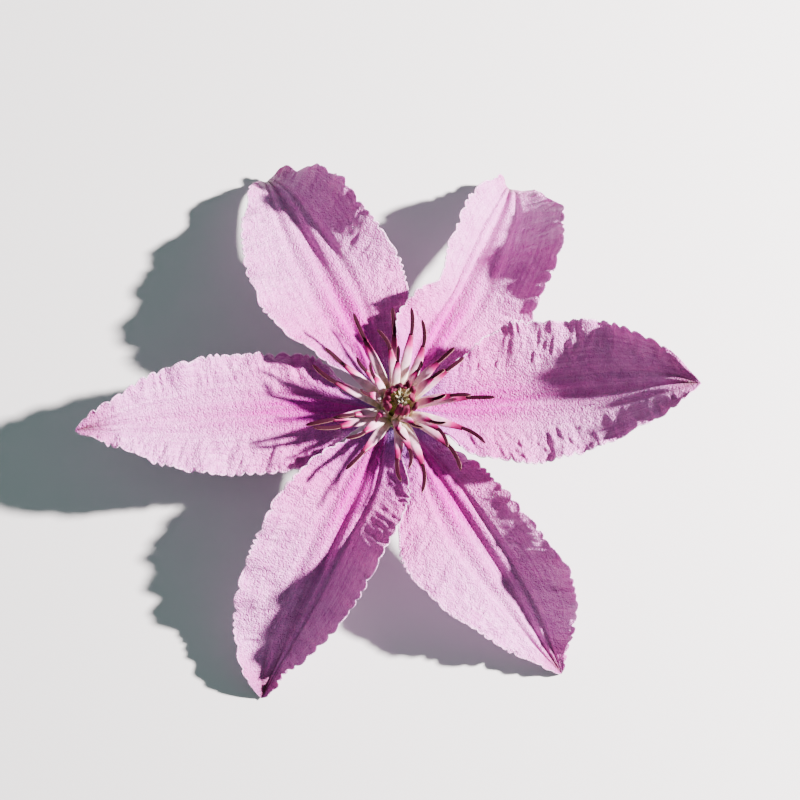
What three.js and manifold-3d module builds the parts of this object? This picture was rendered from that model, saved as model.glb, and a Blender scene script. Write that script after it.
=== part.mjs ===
// Clematis flower, picked with a short stalk and resting face up on the tips of four of its six sepals.
// Millimetres, +Z up. The origin is under the middle of the flower, on the surface it rests on.
import * as THREE from 'three';
import { mergeVertices } from 'three/addons/utils/BufferGeometryUtils.js';
import Module from 'manifold-3d';

// Where the flower's axis stands, and how high its sepals spring from the receptacle
const AXIS_AT = new THREE.Vector3(2.52, 0.75, 0);
const SPRING_HEIGHT = 13;
const RECEPTACLE_RADIUS = 3.0;
const SEAT_GAP = 0.3;

// Sepals: azimuth from +X, length along the midrib, slope of the midrib at the base and what it gains by the
// tip, the curl of the last part and where that starts, sideways bend at the tip, how far the blade's sides
// turn up, how much further its left and right sides are folded up, height of the claw over the spring
// height, height of the tip's middle, how much further the sides turn up at the tip, how far each side is
// lifted where it meets its neighbour, the number that seeds its waves, and its half-widths to the left and
// right, seen from the centre and measured from above, at tenths of its length
const SEPALS = [
  { azimuth: 7.5, length: 55, slope: -3, droop: -40, curl: 30, curlFrom: 0.8, bend: -5,
    cup: 15, foldLeft: 0, foldRight: 0, claw: 0.5, tip: 33, pinch: 26, liftLeft: 3, liftRight: 1.2, seed: 1,
    left: [1.3, 4.9, 8.1, 11.6, 13.6, 13.7, 13.8, 13.6, 11.4, 7, 2],
    right: [1.3, 6.8, 11.4, 12.8, 14.2, 13.4, 12.1, 10.2, 8, 5.2, 2] },
  { azimuth: 61, length: 60, slope: 1, droop: 34, curl: 38, curlFrom: 0.84, bend: 2.75,
    cup: 15, foldLeft: 24, foldRight: 30, claw: 0.2, tip: -0.2, pinch: 10, liftLeft: 1.6, liftRight: -3.8,
    seed: 20,
    left: [1.3, 4.8, 8.6, 7.8, 5, 6.5, 6.8, 7.2, 5.6, 3.6, 2],
    right: [1.3, 4.2, 8.3, 12.5, 15.5, 14.5, 13.9, 12.2, 10.3, 5.5, 3.6] },
  { azimuth: 115.5, length: 58, slope: 1, droop: 34, curl: 38, curlFrom: 0.84, bend: 0.25,
    cup: 17, foldLeft: 0, foldRight: 24, claw: 0, tip: -0.2, pinch: 10, liftLeft: 1.4, liftRight: -3.4,
    seed: 3,
    left: [1.3, 5.6, 9.8, 13.8, 15.9, 15.8, 14.5, 12.2, 9.1, 4.7, 2.4],
    right: [1.3, 4.9, 9.1, 12.9, 14.3, 13.1, 11.3, 10, 8.3, 4.2, 2] },
  { azimuth: 181, length: 59, slope: 1, droop: -28, curl: 26, curlFrom: 0.8, bend: 7,
    cup: 15, foldLeft: 0, foldRight: 0, claw: -0.2, tip: 19, pinch: 26, liftLeft: -3, liftRight: -3.4,
    seed: 4,
    left: [1.3, 4.8, 9.6, 11.9, 12, 12.1, 11.5, 9.8, 7.3, 3.7, 2],
    right: [1.3, 5.6, 10.8, 11.8, 12, 11.8, 11.1, 9.7, 7.6, 3.8, 2] },
  { azimuth: 246.5, length: 58.5, slope: 1, droop: 42, curl: -33, curlFrom: 0.8, bend: 0,
    cup: 14, foldLeft: 30, foldRight: 0, claw: 0.1, tip: 0.12, pinch: 30, liftLeft: 1.4, liftRight: 0.8,
    seed: 5,
    left: [1.3, 5.4, 9.2, 9.6, 9, 8.7, 8, 6.4, 4.2, 1.6, 2],
    right: [1.3, 5.3, 9.7, 12.2, 13.7, 13.8, 13.7, 12.7, 10.7, 7, 6.5] },
  { azimuth: 304.5, length: 59, slope: 1, droop: 42, curl: -31, curlFrom: 0.8, bend: 1.5,
    cup: 14, foldLeft: 30, foldRight: 0, claw: -0.2, tip: 0.12, pinch: 26, liftLeft: -2.4, liftRight: -3,
    seed: 6,
    left: [1.3, 4.3, 7.1, 8.4, 8.5, 8.9, 9.3, 8.9, 7.1, 4, 2],
    right: [1.3, 4.9, 9.2, 13.1, 15.9, 15.1, 13.7, 10.5, 7.6, 3.8, 2] },
];
const BLADE_THICKNESS = 0.8;
const TIP_HALF_WIDTH = 0.55;
const ROUNDED_FROM = 0.86; // share of the length from which the blade rounds to its tip
const CLAW_PINCH = 12; // degrees that the sides turn up further at the claw
const RIB_DEPTH = 0.35;
const WAVE_HEIGHT = 0.5;
const WAVE_LENGTH = 7.5;
const SCALLOP_DEPTH = 0.2;
const RIB_COLUMNS = [-1, -0.86, -0.66, -0.45, -0.3, -0.15, 0, 0.15, 0.3, 0.45, 0.66, 0.86, 1];
const BLADE_ROWS = 34;

// Stamens: whorls from the outside in, with how many, how far out and how high their tips reach, the spread
// of that reach, and how wide and thick filament and anther are
const COLLAR = { inner: 1.75, outer: 2.85, foot: 0.7, top: 2.0 };
const WHORLS = [
  { count: 15, reach: 17.4, spread: 1.7, rise: 8.0, turn: 4, root: 2.45, wide: 0.85, thick: 0.34 },
  { count: 8, reach: 13.0, spread: 1.5, rise: 9.5, turn: 15, root: 2.4, wide: 0.8, thick: 0.34 },
  { count: 10, reach: 8.6, spread: 1.3, rise: 9.3, turn: 2, root: 2.35, wide: 0.75, thick: 0.34 },
];
const YOUNG = { count: 13, root: 2.3, belly: 3.3, lean: 2.95, rise: 10.2, wide: 0.62, thick: 0.5 };
const ANTHER_FROM = 0.72; // share of a stamen's length where its anther begins

// Pistil: a knot of carpels drawn out into styles
const CARPELS = { radius: 1.4, foot: 0.7, top: 4.2 };
const STYLES = { count: 11, root: 0.75, tip: 1.35, top: 11.4, radius: 0.34 };

// Stalk: down from the receptacle, round a bend and out along the surface to its cut end
const STALK_RADIUS = 1.1;
const STALK_AZIMUTH = 248;
const STALK_DROP = 2; // how high over the surface the bend begins
const STALK_BEND = 12;
const STALK_REACH = 36;
const STALK_CUT = 0.5; // how far the slanting cut leans back for each millimetre up

const DEGREE = Math.PI / 180;
const smooth = (x) => THREE.MathUtils.smoothstep(x, 0, 1);
const draw = (seed, k) => {
  const x = Math.sin(12.9898 * k + 78.233 * seed) * 43758.5453;
  return x - Math.floor(x);
};
const around = (azimuth, radius, z) =>
  new THREE.Vector3(radius * Math.cos(azimuth), radius * Math.sin(azimuth), z);

// Joining closed bodies
const wasm = await Module();
wasm.setup();

function toSolid(geometry) {
  const g = geometry.clone();
  g.deleteAttribute('normal');
  g.deleteAttribute('uv');
  const welded = mergeVertices(g, 1e-4);
  return new wasm.Manifold(new wasm.Mesh({
    numProp: 3,
    vertProperties: welded.attributes.position.array,
    triVerts: new Uint32Array(welded.index.array),
  }));
}

function toGeometry(solid) {
  const mesh = solid.getMesh();
  const geometry = new THREE.BufferGeometry();
  geometry.setAttribute('position', new THREE.BufferAttribute(mesh.vertProperties, 3));
  geometry.setIndex(new THREE.BufferAttribute(mesh.triVerts, 1));
  return geometry;
}

const joined = (geometries) => toGeometry(geometries.map(toSolid).reduce((whole, part) => whole.add(part)));

// The midrib: its slope grows along its length and curls at the tip, and its rise or fall is scaled so that
// the tip ends at its own height, on the surface or held over it
function midrib(sepal, steps = 240) {
  const line = [{ out: RECEPTACLE_RADIUS + SEAT_GAP, down: 0 }];
  const slope = (s) => (sepal.slope + sepal.droop * s ** 2
    + sepal.curl * smooth((s - sepal.curlFrom) / (1 - sepal.curlFrom))) * DEGREE;
  const step = sepal.length / steps;
  for (let i = 1; i <= steps; i++) {
    const a = slope((i - 0.5) / steps);
    const last = line[i - 1];
    line.push({ out: last.out + Math.cos(a) * step, down: last.down + Math.sin(a) * step });
  }
  const height = SPRING_HEIGHT + sepal.claw;
  const scale = (height - sepal.tip) / line[steps].down;
  const points = line.map((p) => new THREE.Vector2(p.out, height - p.down * scale));
  return (s) => {
    const x = Math.min(Math.max(s, 0), 1) * steps;
    const i = Math.min(Math.floor(x), steps - 1);
    const at = points[i].clone().lerp(points[i + 1], x - i);
    const along = points[i + 1].clone().sub(points[i]).normalize();
    return { at, along };
  };
}

// The half-width at a share of the length: a smooth curve through the tenths, rounded off at the tip
function halfWidth(tenths, s) {
  const last = tenths.length - 1;
  const i = Math.min(Math.floor(s * last), last - 1);
  const f = s * last - i;
  const [b, c] = [tenths[i], tenths[i + 1]];
  const a = i > 0 ? tenths[i - 1] : 2 * b - c;
  const d = i + 2 <= last ? tenths[i + 2] : 2 * c - b;
  const wide = b + 0.5 * f * (c - a + f * (2 * a - 5 * b + 4 * c - d + f * (3 * (b - c) + d - a)));
  const rounded = smooth((s - ROUNDED_FROM) / (1 - ROUNDED_FROM));
  return wide * Math.sqrt(1 - rounded ** 2) + TIP_HALF_WIDTH * s ** 6;
}

// A point of a sepal's middle surface. s runs from claw to tip, u from the right margin, -1, to the left, 1.
function bladePoint(sepal, line, s, u, waved) {
  const side = Math.abs(u);
  const wide = halfWidth(u < 0 ? sepal.right : sepal.left, s);
  const folded = u < 0 ? sepal.foldRight * smooth((s - 0.35) / 0.3)
    : sepal.foldLeft * smooth((s - 0.15) / 0.3);
  const atTip = smooth((s - 0.8) / 0.2);
  const turned = (sepal.cup + folded * (1 - atTip) + sepal.pinch * atTip
    + CLAW_PINCH * (1 - smooth(s / 0.25))) * DEGREE;
  const lap = smooth(s / 0.12) * (1 - smooth((s - 0.4) / 0.3));
  let rise = wide * Math.tan(turned) * side ** 1.5
    + (u < 0 ? sepal.liftRight : sepal.liftLeft) * lap * side ** 2;
  let across = wide * u;
  if (waved) {
    const along = s * sepal.length;
    const hand = u < 0 ? 0 : 0.5;
    const grown = smooth(s / 0.2) * (1 - smooth((s - 0.88) / 0.12));
    const sway = Math.sin(2 * Math.PI * (along / WAVE_LENGTH + draw(sepal.seed, 3 + hand)))
      + 0.6 * Math.sin(2 * Math.PI * (along / (1.7 * WAVE_LENGTH) + draw(sepal.seed, 5 + hand)));
    rise += WAVE_HEIGHT * grown * sway * side ** 3;
    const ribs = Math.cos(2 * Math.PI * side / 0.3) * (1 - smooth((side - 0.3) / 0.2));
    rise -= RIB_DEPTH * grown * ribs;
    if (side === 1) {
      const row = Math.round(s * BLADE_ROWS);
      const scallop = SCALLOP_DEPTH * (0.7 + 0.6 * draw(sepal.seed, 20 + row + hand));
      across += u * grown * (row % 2 ? scallop : -scallop);
    }
  }
  const { at, along } = line(s);
  const radius = at.x - along.y * rise;
  const z = at.y + along.x * rise;
  const point = around(sepal.azimuth * DEGREE, radius, z);
  const sideways = around((sepal.azimuth + 90) * DEGREE, sepal.bend * s * s + across, 0);
  return point.add(sideways);
}

// A sepal blade: the same sheet twice, half a thickness above and below the middle surface, closed by a rim,
// and pared flat where the tip lies on the surface
function sepalGeometry(sepal) {
  const columns = RIB_COLUMNS.length;
  const line = midrib(sepal);
  const faces = { top: [], bottom: [] };
  const step = 0.01;
  for (let row = 0; row <= BLADE_ROWS; row++) {
    const s = row / BLADE_ROWS;
    for (const u of RIB_COLUMNS) {
      const before = Math.max(s - step, 0);
      const after = Math.min(s + step, 1);
      const lengthwise = bladePoint(sepal, line, after, u, false)
        .sub(bladePoint(sepal, line, before, u, false));
      const crosswise = bladePoint(sepal, line, s, u + step, false)
        .sub(bladePoint(sepal, line, s, u - step, false));
      const normal = lengthwise.cross(crosswise).normalize();
      const middle = bladePoint(sepal, line, s, u, true);
      faces.top.push(middle.clone().addScaledVector(normal, BLADE_THICKNESS / 2));
      faces.bottom.push(middle.clone().addScaledVector(normal, -BLADE_THICKNESS / 2));
    }
  }
  const vertices = [...faces.top, ...faces.bottom];
  const under = faces.top.length;
  const index = [];
  const quad = (a, b, c, d) => index.push(a, b, c, a, c, d);
  for (let row = 0; row < BLADE_ROWS; row++) {
    for (let column = 0; column < columns - 1; column++) {
      const a = row * columns + column;
      const b = a + columns;
      index.push(a, b, b + 1, a, b + 1, a + 1);
      index.push(under + a, under + b + 1, under + b, under + a, under + a + 1, under + b + 1);
    }
    const right = row * columns;
    const left = right + columns - 1;
    quad(right, under + right, under + right + columns, right + columns);
    quad(left, left + columns, under + left + columns, under + left);
  }
  for (let column = 0; column < columns - 1; column++) {
    const end = BLADE_ROWS * columns + column;
    quad(column, column + 1, under + column + 1, under + column);
    quad(end, under + end, under + end + 1, end + 1);
  }
  const blade = new THREE.BufferGeometry().setFromPoints(vertices);
  blade.setIndex(index);
  const ground = new THREE.BoxGeometry(300, 300, 4).translate(0, 0, -2);
  return toGeometry(toSolid(blade).subtract(toSolid(ground)));
}

// A strap or bead along a curve: a few-sided cylinder whose rings are set across the curve, as wide and as
// thick as the profile says at each share of the length
function strap(curve, azimuth, sides, shares, profile) {
  const rings = shares.length - 1;
  const tangential = around(azimuth + Math.PI / 2, 1, 0);
  const g = new THREE.CylinderGeometry(1, 1, 1, sides, rings);
  const position = g.attributes.position;
  for (let i = 0; i < position.count; i++) {
    const t = shares[Math.round((position.getY(i) + 0.5) * rings)];
    const along = curve.getTangent(t);
    const aside = tangential.clone().projectOnPlane(along).normalize();
    const up = aside.clone().cross(along);
    const { wide, thick } = profile(t);
    const p = curve.getPoint(t)
      .addScaledVector(aside, position.getX(i) * wide)
      .addScaledVector(up, position.getZ(i) * thick);
    position.setXYZ(i, p.x, p.y, p.z);
  }
  return g;
}

// A closed body of revolution from outline points of radius and height
const turnedBody = (points, sides) =>
  new THREE.LatheGeometry(points.map(([r, z]) => new THREE.Vector2(r, z)), sides).rotateX(Math.PI / 2);

// Stamens: a low collar that carries every filament, the young ones still upright round the styles
function stamenGeometry() {
  const base = SPRING_HEIGHT;
  const { inner, outer, foot, top } = COLLAR;
  const bodies = [turnedBody([[inner, base + foot], [outer, base + foot], [outer, base + top - 0.4],
    [outer - 0.3, base + top], [inner, base + top], [inner, base + foot]], 26)];
  const shares = [0, 0.2, 0.42, 0.66, 0.75, 0.88, 1];
  WHORLS.forEach((whorl, w) => {
    for (let k = 0; k < whorl.count; k++) {
      const seed = 10 * (w + 1);
      const azimuth = (whorl.turn + 360 * (k + 0.7 * (draw(seed, k) - 0.5)) / whorl.count) * DEGREE;
      const reach = whorl.reach + 2 * whorl.spread * (draw(seed + 1, k) - 0.5);
      const rise = whorl.rise * (0.8 + 0.4 * draw(seed + 2, k));
      const sway = 0.16 * (draw(seed + 3, k) - 0.5);
      const z = base + COLLAR.foot + 0.6;
      const curve = new THREE.CubicBezierCurve3(
        around(azimuth, whorl.root, z),
        around(azimuth, whorl.root + 0.16 * reach, z + 0.7 * rise),
        around(azimuth + sway, 0.66 * reach, z + 0.85 * rise),
        around(azimuth + 2.5 * sway, reach, z + rise));
      bodies.push(strap(curve, azimuth, 4, shares, (t) => {
        const inFilament = t < ANTHER_FROM;
        const swell = inFilament ? 0.72 + 0.28 * Math.sin(Math.PI * t / ANTHER_FROM)
          : 0.55 - 0.28 * smooth((t - 0.86) / 0.14);
        return { wide: whorl.wide * swell, thick: whorl.thick * (t === 1 ? 0.7 : 1) };
      }));
    }
  });
  for (let k = 0; k < YOUNG.count; k++) {
    const azimuth = (360 * (k + 0.3 * (draw(50, k) - 0.5)) / YOUNG.count) * DEGREE;
    const rise = YOUNG.rise * (0.94 + 0.12 * draw(51, k));
    const z = base + COLLAR.foot + 0.6;
    const curve = new THREE.CubicBezierCurve3(
      around(azimuth, YOUNG.root, z),
      around(azimuth, YOUNG.belly, z + 0.35 * rise),
      around(azimuth, YOUNG.belly, z + 0.7 * rise),
      around(azimuth, YOUNG.lean + 0.3 * (draw(52, k) - 0.5), z + rise));
    bodies.push(strap(curve, azimuth, 4, [0, 0.35, 0.6, 0.72, 0.9, 1], (t) => ({
      wide: YOUNG.wide * (t < 0.65 ? 0.8 : t === 1 ? 0.75 : 1.1),
      thick: YOUNG.thick * (t < 0.65 ? 0.7 : t === 1 ? 0.75 : 1.1),
    })));
  }
  return joined(bodies);
}

// Pistil: the knot of carpels and the styles that rise from it and part at their tips
function pistilGeometry() {
  const base = SPRING_HEIGHT;
  const { radius, foot, top } = CARPELS;
  const bodies = [turnedBody([[0, base + foot], [radius, base + foot], [radius, base + foot + 1.6],
    [0.75 * radius, base + top], [0, base + top + 0.5]], 14)];
  for (let k = 0; k < STYLES.count; k++) {
    const azimuth = 2.399963 * k;
    const part = Math.sqrt((k + 0.5) / STYLES.count);
    const z = base + CARPELS.foot + 1.2;
    const tipZ = base + STYLES.top - 1.3 * draw(60, k);
    const curve = new THREE.CubicBezierCurve3(
      around(azimuth, STYLES.root * part, z),
      around(azimuth, STYLES.root * part, z + 4),
      around(azimuth, STYLES.root * part, tipZ - 3),
      around(azimuth, STYLES.tip * part, tipZ));
    bodies.push(strap(curve, azimuth, 5, [0, 0.5, 0.85, 1], (t) => ({
      wide: STYLES.radius * (t === 1 ? 0.8 : 1), thick: STYLES.radius * (t === 1 ? 0.8 : 1),
    })));
  }
  return joined(bodies);
}

// Stalk with the receptacle swollen at its top
function stalkGeometry() {
  const base = SPRING_HEIGHT;
  const azimuth = STALK_AZIMUTH * DEGREE;
  const section = new THREE.Shape(new THREE.Path().absarc(0, 0, STALK_RADIUS, 0, 2 * Math.PI).getPoints(6)
    .slice(0, -1));
  const low = STALK_RADIUS;
  const path = new THREE.CubicBezierCurve3(
    around(azimuth, 0, base - 1.5),
    around(azimuth, 0, low + STALK_DROP),
    around(azimuth, STALK_BEND, low),
    around(azimuth, STALK_REACH, low));
  const stem = new THREE.ExtrudeGeometry(section, { steps: 22, bevelEnabled: false, extrudePath: path });
  const position = stem.attributes.position;
  const outward = around(azimuth, 1, 0);
  for (let i = 0; i < position.count; i++) {
    const p = new THREE.Vector3().fromBufferAttribute(position, i);
    if (p.dot(outward) > STALK_REACH - 1e-3) {
      p.addScaledVector(outward, -STALK_CUT * p.z);
      position.setXYZ(i, p.x, p.y, p.z);
    }
  }
  const r = RECEPTACLE_RADIUS;
  const receptacle = turnedBody([[0, base - 4.2], [STALK_RADIUS, base - 4.2], [1.5, base - 3],
    [r - 0.5, base - 1.6], [r, base - 0.9], [r, base + 0.1], [r - 0.3, base + 0.4], [0, base + 0.4]], 20);
  return joined([stem, receptacle]);
}

const material = (color, roughness) => new THREE.MeshStandardMaterial({ color, roughness, metalness: 0 });
const SEPAL_PINK = material(0xdcaedb, 0.6);
const STAMEN_PINK = material(0xd9a3b4, 0.55);
const STYLE_CREAM = material(0xe2d2a2, 0.6);
const STALK_GREEN = material(0x6f8a3e, 0.6);

const flower = new THREE.Group();
const bloom = new THREE.Group();
bloom.position.copy(AXIS_AT);
flower.add(bloom);

function piece(name, geometry, look) {
  const mesh = new THREE.Mesh(geometry, look);
  mesh.name = name;
  bloom.add(mesh);
}

SEPALS.forEach((sepal, i) => piece(`sepal_${i + 1}`, sepalGeometry(sepal), SEPAL_PINK));
piece('stamens', stamenGeometry(), STAMEN_PINK);
piece('pistil', pistilGeometry(), STYLE_CREAM);
piece('stalk', stalkGeometry(), STALK_GREEN);

export default flower;
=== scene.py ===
import bmesh
import bpy
import numpy as np
from mathutils import Matrix, Vector


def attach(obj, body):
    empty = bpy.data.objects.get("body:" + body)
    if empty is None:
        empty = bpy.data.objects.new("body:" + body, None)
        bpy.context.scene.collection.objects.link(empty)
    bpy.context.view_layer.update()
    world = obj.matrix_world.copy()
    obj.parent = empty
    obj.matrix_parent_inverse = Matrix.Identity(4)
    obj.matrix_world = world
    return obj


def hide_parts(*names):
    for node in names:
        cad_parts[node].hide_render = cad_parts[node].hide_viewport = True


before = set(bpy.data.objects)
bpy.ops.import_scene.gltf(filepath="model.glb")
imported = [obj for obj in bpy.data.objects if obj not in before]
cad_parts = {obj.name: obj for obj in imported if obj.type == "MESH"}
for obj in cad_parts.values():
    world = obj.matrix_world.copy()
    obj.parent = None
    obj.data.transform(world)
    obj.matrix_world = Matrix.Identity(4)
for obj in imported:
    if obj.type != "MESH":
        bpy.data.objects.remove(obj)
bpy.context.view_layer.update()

# ---- Stalk and receptacle ----
# The stalk is a green ribbed stem, about 2 mm thick, cut aslant when the flower was picked. It swells at its
# top into the receptacle, the small green-white cushion that every other piece grows from. It comes down
# from the middle of the flower, bends and lies along the surface under one sepal.

MM = 0.001  # metres
WELD = 2e-7  # metres between points that are one and the same
AXIS_AT = np.array([2.52, 0.75, 0.0])  # mm, where the flower's axis meets the surface
SPRING_HEIGHT = 13.0  # mm, where the sepals spring from the receptacle
RECEPTACLE_RADIUS = 3.0
STALK_RADIUS = 1.1
STALK_AZIMUTH = np.radians(248)
STALK_PATH = [(0, 11.5), (0, 3.1), (12, 1.1), (36, 1.1)]  # distance from the axis and height, mm
STALK_CUT = 0.5  # how far the cut leans back for each millimetre up
STALK_RIBS = 6
RIB_SHARE = 0.05  # how far a rib stands out, as a share of the radius
# Outlines of turned forms: distance from the axis and height over the spring height, mm
RECEPTACLE_OUTLINE = [(0, -4.2), (1.1, -4.2), (1.25, -3.5), (1.6, -2.9), (2.2, -2.1), (2.7, -1.5),
                      (3.0, -0.8), (3.03, -0.3), (2.95, 0.15), (2.6, 0.4), (1.6, 0.42), (0, 0.42)]
DOWN_HAIRS = 700
DOWN_LENGTH = 0.55  # mm
HAIR_RADIUS = 0.03  # mm, thicker than a real hair so that it shows
HAIR_ROOT = 0.05  # mm under the skin
LOWEST_TIP = 0.02  # mm over the surface, for hairs that would reach under it


def smooth(x):
    """Smoothstep: 0 up to 0, 1 from 1 on, and 3x² - 2x³ between."""
    x = np.clip(x, 0, 1)
    return x * x * (3 - 2 * x)


def unit(v):
    """Each vector divided by its own length."""
    return v / np.maximum(np.linalg.norm(v, axis=-1, keepdims=True), 1e-9)


def around(azimuth, radius, height):
    """Points at an angle round the axis, a distance from it and a height, broadcast together."""
    return np.stack(np.broadcast_arrays(radius * np.cos(azimuth), radius * np.sin(azimuth), height), -1)


def bezier(corners, t):
    """The cubic Bezier curve through four corners at shares t, and its unit tangents."""
    a, b, c, d = np.asarray(corners, float)
    t = np.asarray(t, float)[:, None]
    point = a * (1 - t) ** 3 + 3 * b * t * (1 - t) ** 2 + 3 * c * t * t * (1 - t) + d * t ** 3
    slope = (b - a) * (1 - t) ** 2 + 2 * (c - b) * t * (1 - t) + (d - c) * t * t
    return point, unit(slope)


def carried(points, along, sideways, reach, lift):
    """A profile carried along a path: each ring is the path's point plus reach times the sideways direction
    plus lift times the direction square to it and to the path. reach and lift hold the profile's values, or
    a row of them for each ring."""
    aside = unit(sideways - along * np.sum(along * sideways, -1, keepdims=True))
    up = np.cross(aside, along)
    return points[:, None] + aside[:, None] * reach[..., None] + up[:, None] * lift[..., None]


def capped(rings):
    """The same rings with one more at each end, all of whose points are at the middle of the end ring."""
    first, last = (np.broadcast_to(ring.mean(0), ring.shape)[None] for ring in (rings[0], rings[-1]))
    return np.concatenate([first, rings, last])


def turned_form(outline, turn):
    """An outline turned about the flower's axis: a ring of points at each of its distances and heights."""
    radius, height = np.array(outline).T[..., None]
    return around(turn, radius, SPRING_HEIGHT + height)


def build(name, parts, materials):
    """One mesh from several grids of points in mm. Each grid closes round its rows into a skin, and its
    quads run from row to row. A grid comes with the shares across and along for its UV map, and the
    material's number for each column. Rows drawn to a point or a line are welded shut."""
    at, quads, maps, looks, start = [], [], [], [], 0
    for points, u, v, look in parts:
        rows, columns = points.shape[:2]
        row, column = np.meshgrid(np.arange(rows - 1), np.arange(columns), indexing="ij")
        beside = (column + 1) % columns
        corners = [row * columns + column, (row + 1) * columns + column, (row + 1) * columns + beside,
                   row * columns + beside]
        quads.append(np.stack(corners, -1).reshape(-1, 4) + start)
        cross = [u[column], u[column], u[column + 1], u[column + 1]]
        length = [v[row], v[row + 1], v[row + 1], v[row]]
        maps.append(np.stack([np.stack(cross, -1), np.stack(length, -1)], -1).reshape(-1, 2))
        looks.append(np.broadcast_to(look, row.shape).ravel())
        at.append(points.reshape(-1, 3))
        start += rows * columns
    at, quads, maps, looks = (np.concatenate(x) for x in (at, quads, maps, looks))
    mesh = bpy.data.meshes.new(name)
    mesh.from_pydata((at + AXIS_AT) * MM, [], quads.tolist())
    mesh.uv_layers.new(name="sheet").data.foreach_set("uv", maps.astype(np.float32).ravel())
    mesh.polygons.foreach_set("material_index", looks.astype(np.int32))
    for material in materials:
        mesh.materials.append(material)
    work = bmesh.new()
    work.from_mesh(mesh)
    bmesh.ops.remove_doubles(work, verts=work.verts, dist=WELD)
    bmesh.ops.recalc_face_normals(work, faces=work.faces)
    work.to_mesh(mesh)
    work.free()
    mesh.polygons.foreach_set("use_smooth", np.ones(len(mesh.polygons), bool))
    piece = bpy.data.objects.new(name, mesh)
    bpy.context.collection.objects.link(piece)
    return piece


def spikes(points, outward, along, length, look, seed):
    """Fine hairs: closed three-sided spikes, each from just under its point on the skin, outward and leaning
    along by a random share, and drawn to nothing at its random length."""
    rng = np.random.default_rng(seed)
    lean = unit(outward + along * rng.uniform(0.2, 0.9, (len(points), 1)))
    aside = unit(np.cross(outward, along))
    foot = points - HAIR_ROOT * outward
    angle = np.radians([0, 120, 240])[:, None, None]
    ring = foot + HAIR_RADIUS * (np.cos(angle) * aside + np.sin(angle) * np.cross(lean, aside))
    tip = points + lean * length * rng.uniform(0.6, 1.1, (len(points), 1))
    tip[:, 2] = np.maximum(tip[:, 2], LOWEST_TIP)
    rows = np.stack([np.broadcast_to(foot, ring.shape), ring, np.broadcast_to(tip, ring.shape)])
    return [(rows[:, :, i], np.linspace(0, 1, 4), np.linspace(0, 1, 3), look) for i in range(len(points))]


def colour(code):
    """An sRGB hex colour as linear red, green, blue and alpha."""
    parts = np.array([int(code[i:i + 2], 16) / 255 for i in (1, 3, 5)])
    linear = np.where(parts <= 0.04045, parts / 12.92, ((parts + 0.055) / 1.055) ** 2.4)
    return (*linear.tolist(), 1.0)


def put(tree, kind, inputs=None, stops=None, **settings):
    """Adds one node and returns it. inputs gives each socket a value or another node's output, settings are
    the node's own properties, and stops are the places and colours of a ramp."""
    node = tree.nodes.new(kind)
    for key, value in settings.items():
        setattr(node, key, value)
    for key, value in (inputs or {}).items():
        if isinstance(value, bpy.types.NodeSocket):
            tree.links.new(value, node.inputs[key])
        else:
            node.inputs[key].default_value = value
    for i, (place, code) in enumerate(stops or []):
        ramp = node.color_ramp.elements
        stop = ramp[i] if i < 2 else ramp.new(place)
        stop.position = place
        stop.color = colour(code)
    return node


def new_material(name):
    """An empty node material and its tree."""
    material = bpy.data.materials.new(name)
    material.use_nodes = True
    material.node_tree.nodes.clear()
    return material, material.node_tree


# Living green stem tissue, waxy and a little translucent. It looks dull green with paler ribs and a flush of
# purple where the sun reached it.
stem_green, tree = new_material("green stem tissue")
place = put(tree, "ShaderNodeTexCoord")
sheet = put(tree, "ShaderNodeSeparateXYZ", {0: place.outputs["UV"]})
flush = put(tree, "ShaderNodeTexNoise", {"Vector": place.outputs["Object"], "Scale": 160.0, "Detail": 3.0})
ribs = put(tree, "ShaderNodeMath", {0: sheet.outputs["X"], 1: 2 * np.pi * STALK_RIBS}, operation="MULTIPLY")
ribs = put(tree, "ShaderNodeMath", {0: ribs.outputs[0]}, operation="COSINE")
ribs = put(tree, "ShaderNodeMath", {0: ribs.outputs[0], 1: 0.22, 2: flush.outputs["Fac"]},
           operation="MULTIPLY_ADD")
green = put(tree, "ShaderNodeValToRGB", {0: ribs.outputs[0]},
            stops=[(0.25, "#5A413D"), (0.42, "#55652F"), (0.6, "#6A813B"), (0.85, "#8E9E5A")])
grain = put(tree, "ShaderNodeTexNoise", {"Vector": place.outputs["Object"], "Scale": 1800.0, "Detail": 2.0})
bump = put(tree, "ShaderNodeBump", {"Height": grain.outputs["Fac"], "Strength": 0.35, "Distance": 0.0001})
shader = put(tree, "ShaderNodeBsdfPrincipled",
             {"Base Color": green.outputs[0], "Roughness": 0.48, "IOR": 1.42, "Normal": bump.outputs[0],
              "Subsurface Weight": 0.15, "Subsurface Radius": (0.6, 1.0, 0.3), "Subsurface Scale": 0.0008})
put(tree, "ShaderNodeOutputMaterial", {0: shader.outputs[0]})

# Fine down: colourless dead hairs, which look silvery white. The styles' silk is the same.
fine_down, tree = new_material("fine down")
shader = put(tree, "ShaderNodeBsdfPrincipled", {"Base Color": colour("#C7C3B8"), "Roughness": 0.5})
put(tree, "ShaderNodeOutputMaterial", {0: shader.outputs[0]})

# The stem: a circle with six low ribs carried down and out along the path, its end cut aslant
t = np.linspace(0, 1, 90)
line, along = bezier([around(STALK_AZIMUTH, out, z) for out, z in STALK_PATH], t)
angle = np.linspace(0, 2 * np.pi, 37)
swell = STALK_RADIUS * (1 + RIB_SHARE * np.cos(STALK_RIBS * angle[:-1]))
stem = carried(line, along, around(STALK_AZIMUTH + np.pi / 2, 1.0, 0.0), swell * np.cos(angle[:-1]),
               swell * np.sin(angle[:-1]))
outward = around(STALK_AZIMUTH, 1.0, 0.0)
stem -= outward * (STALK_CUT * stem[..., 2] * smooth((t - 0.9) / 0.1)[:, None])[..., None]
stem[..., 2] = np.maximum(stem[..., 2], 0)
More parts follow.
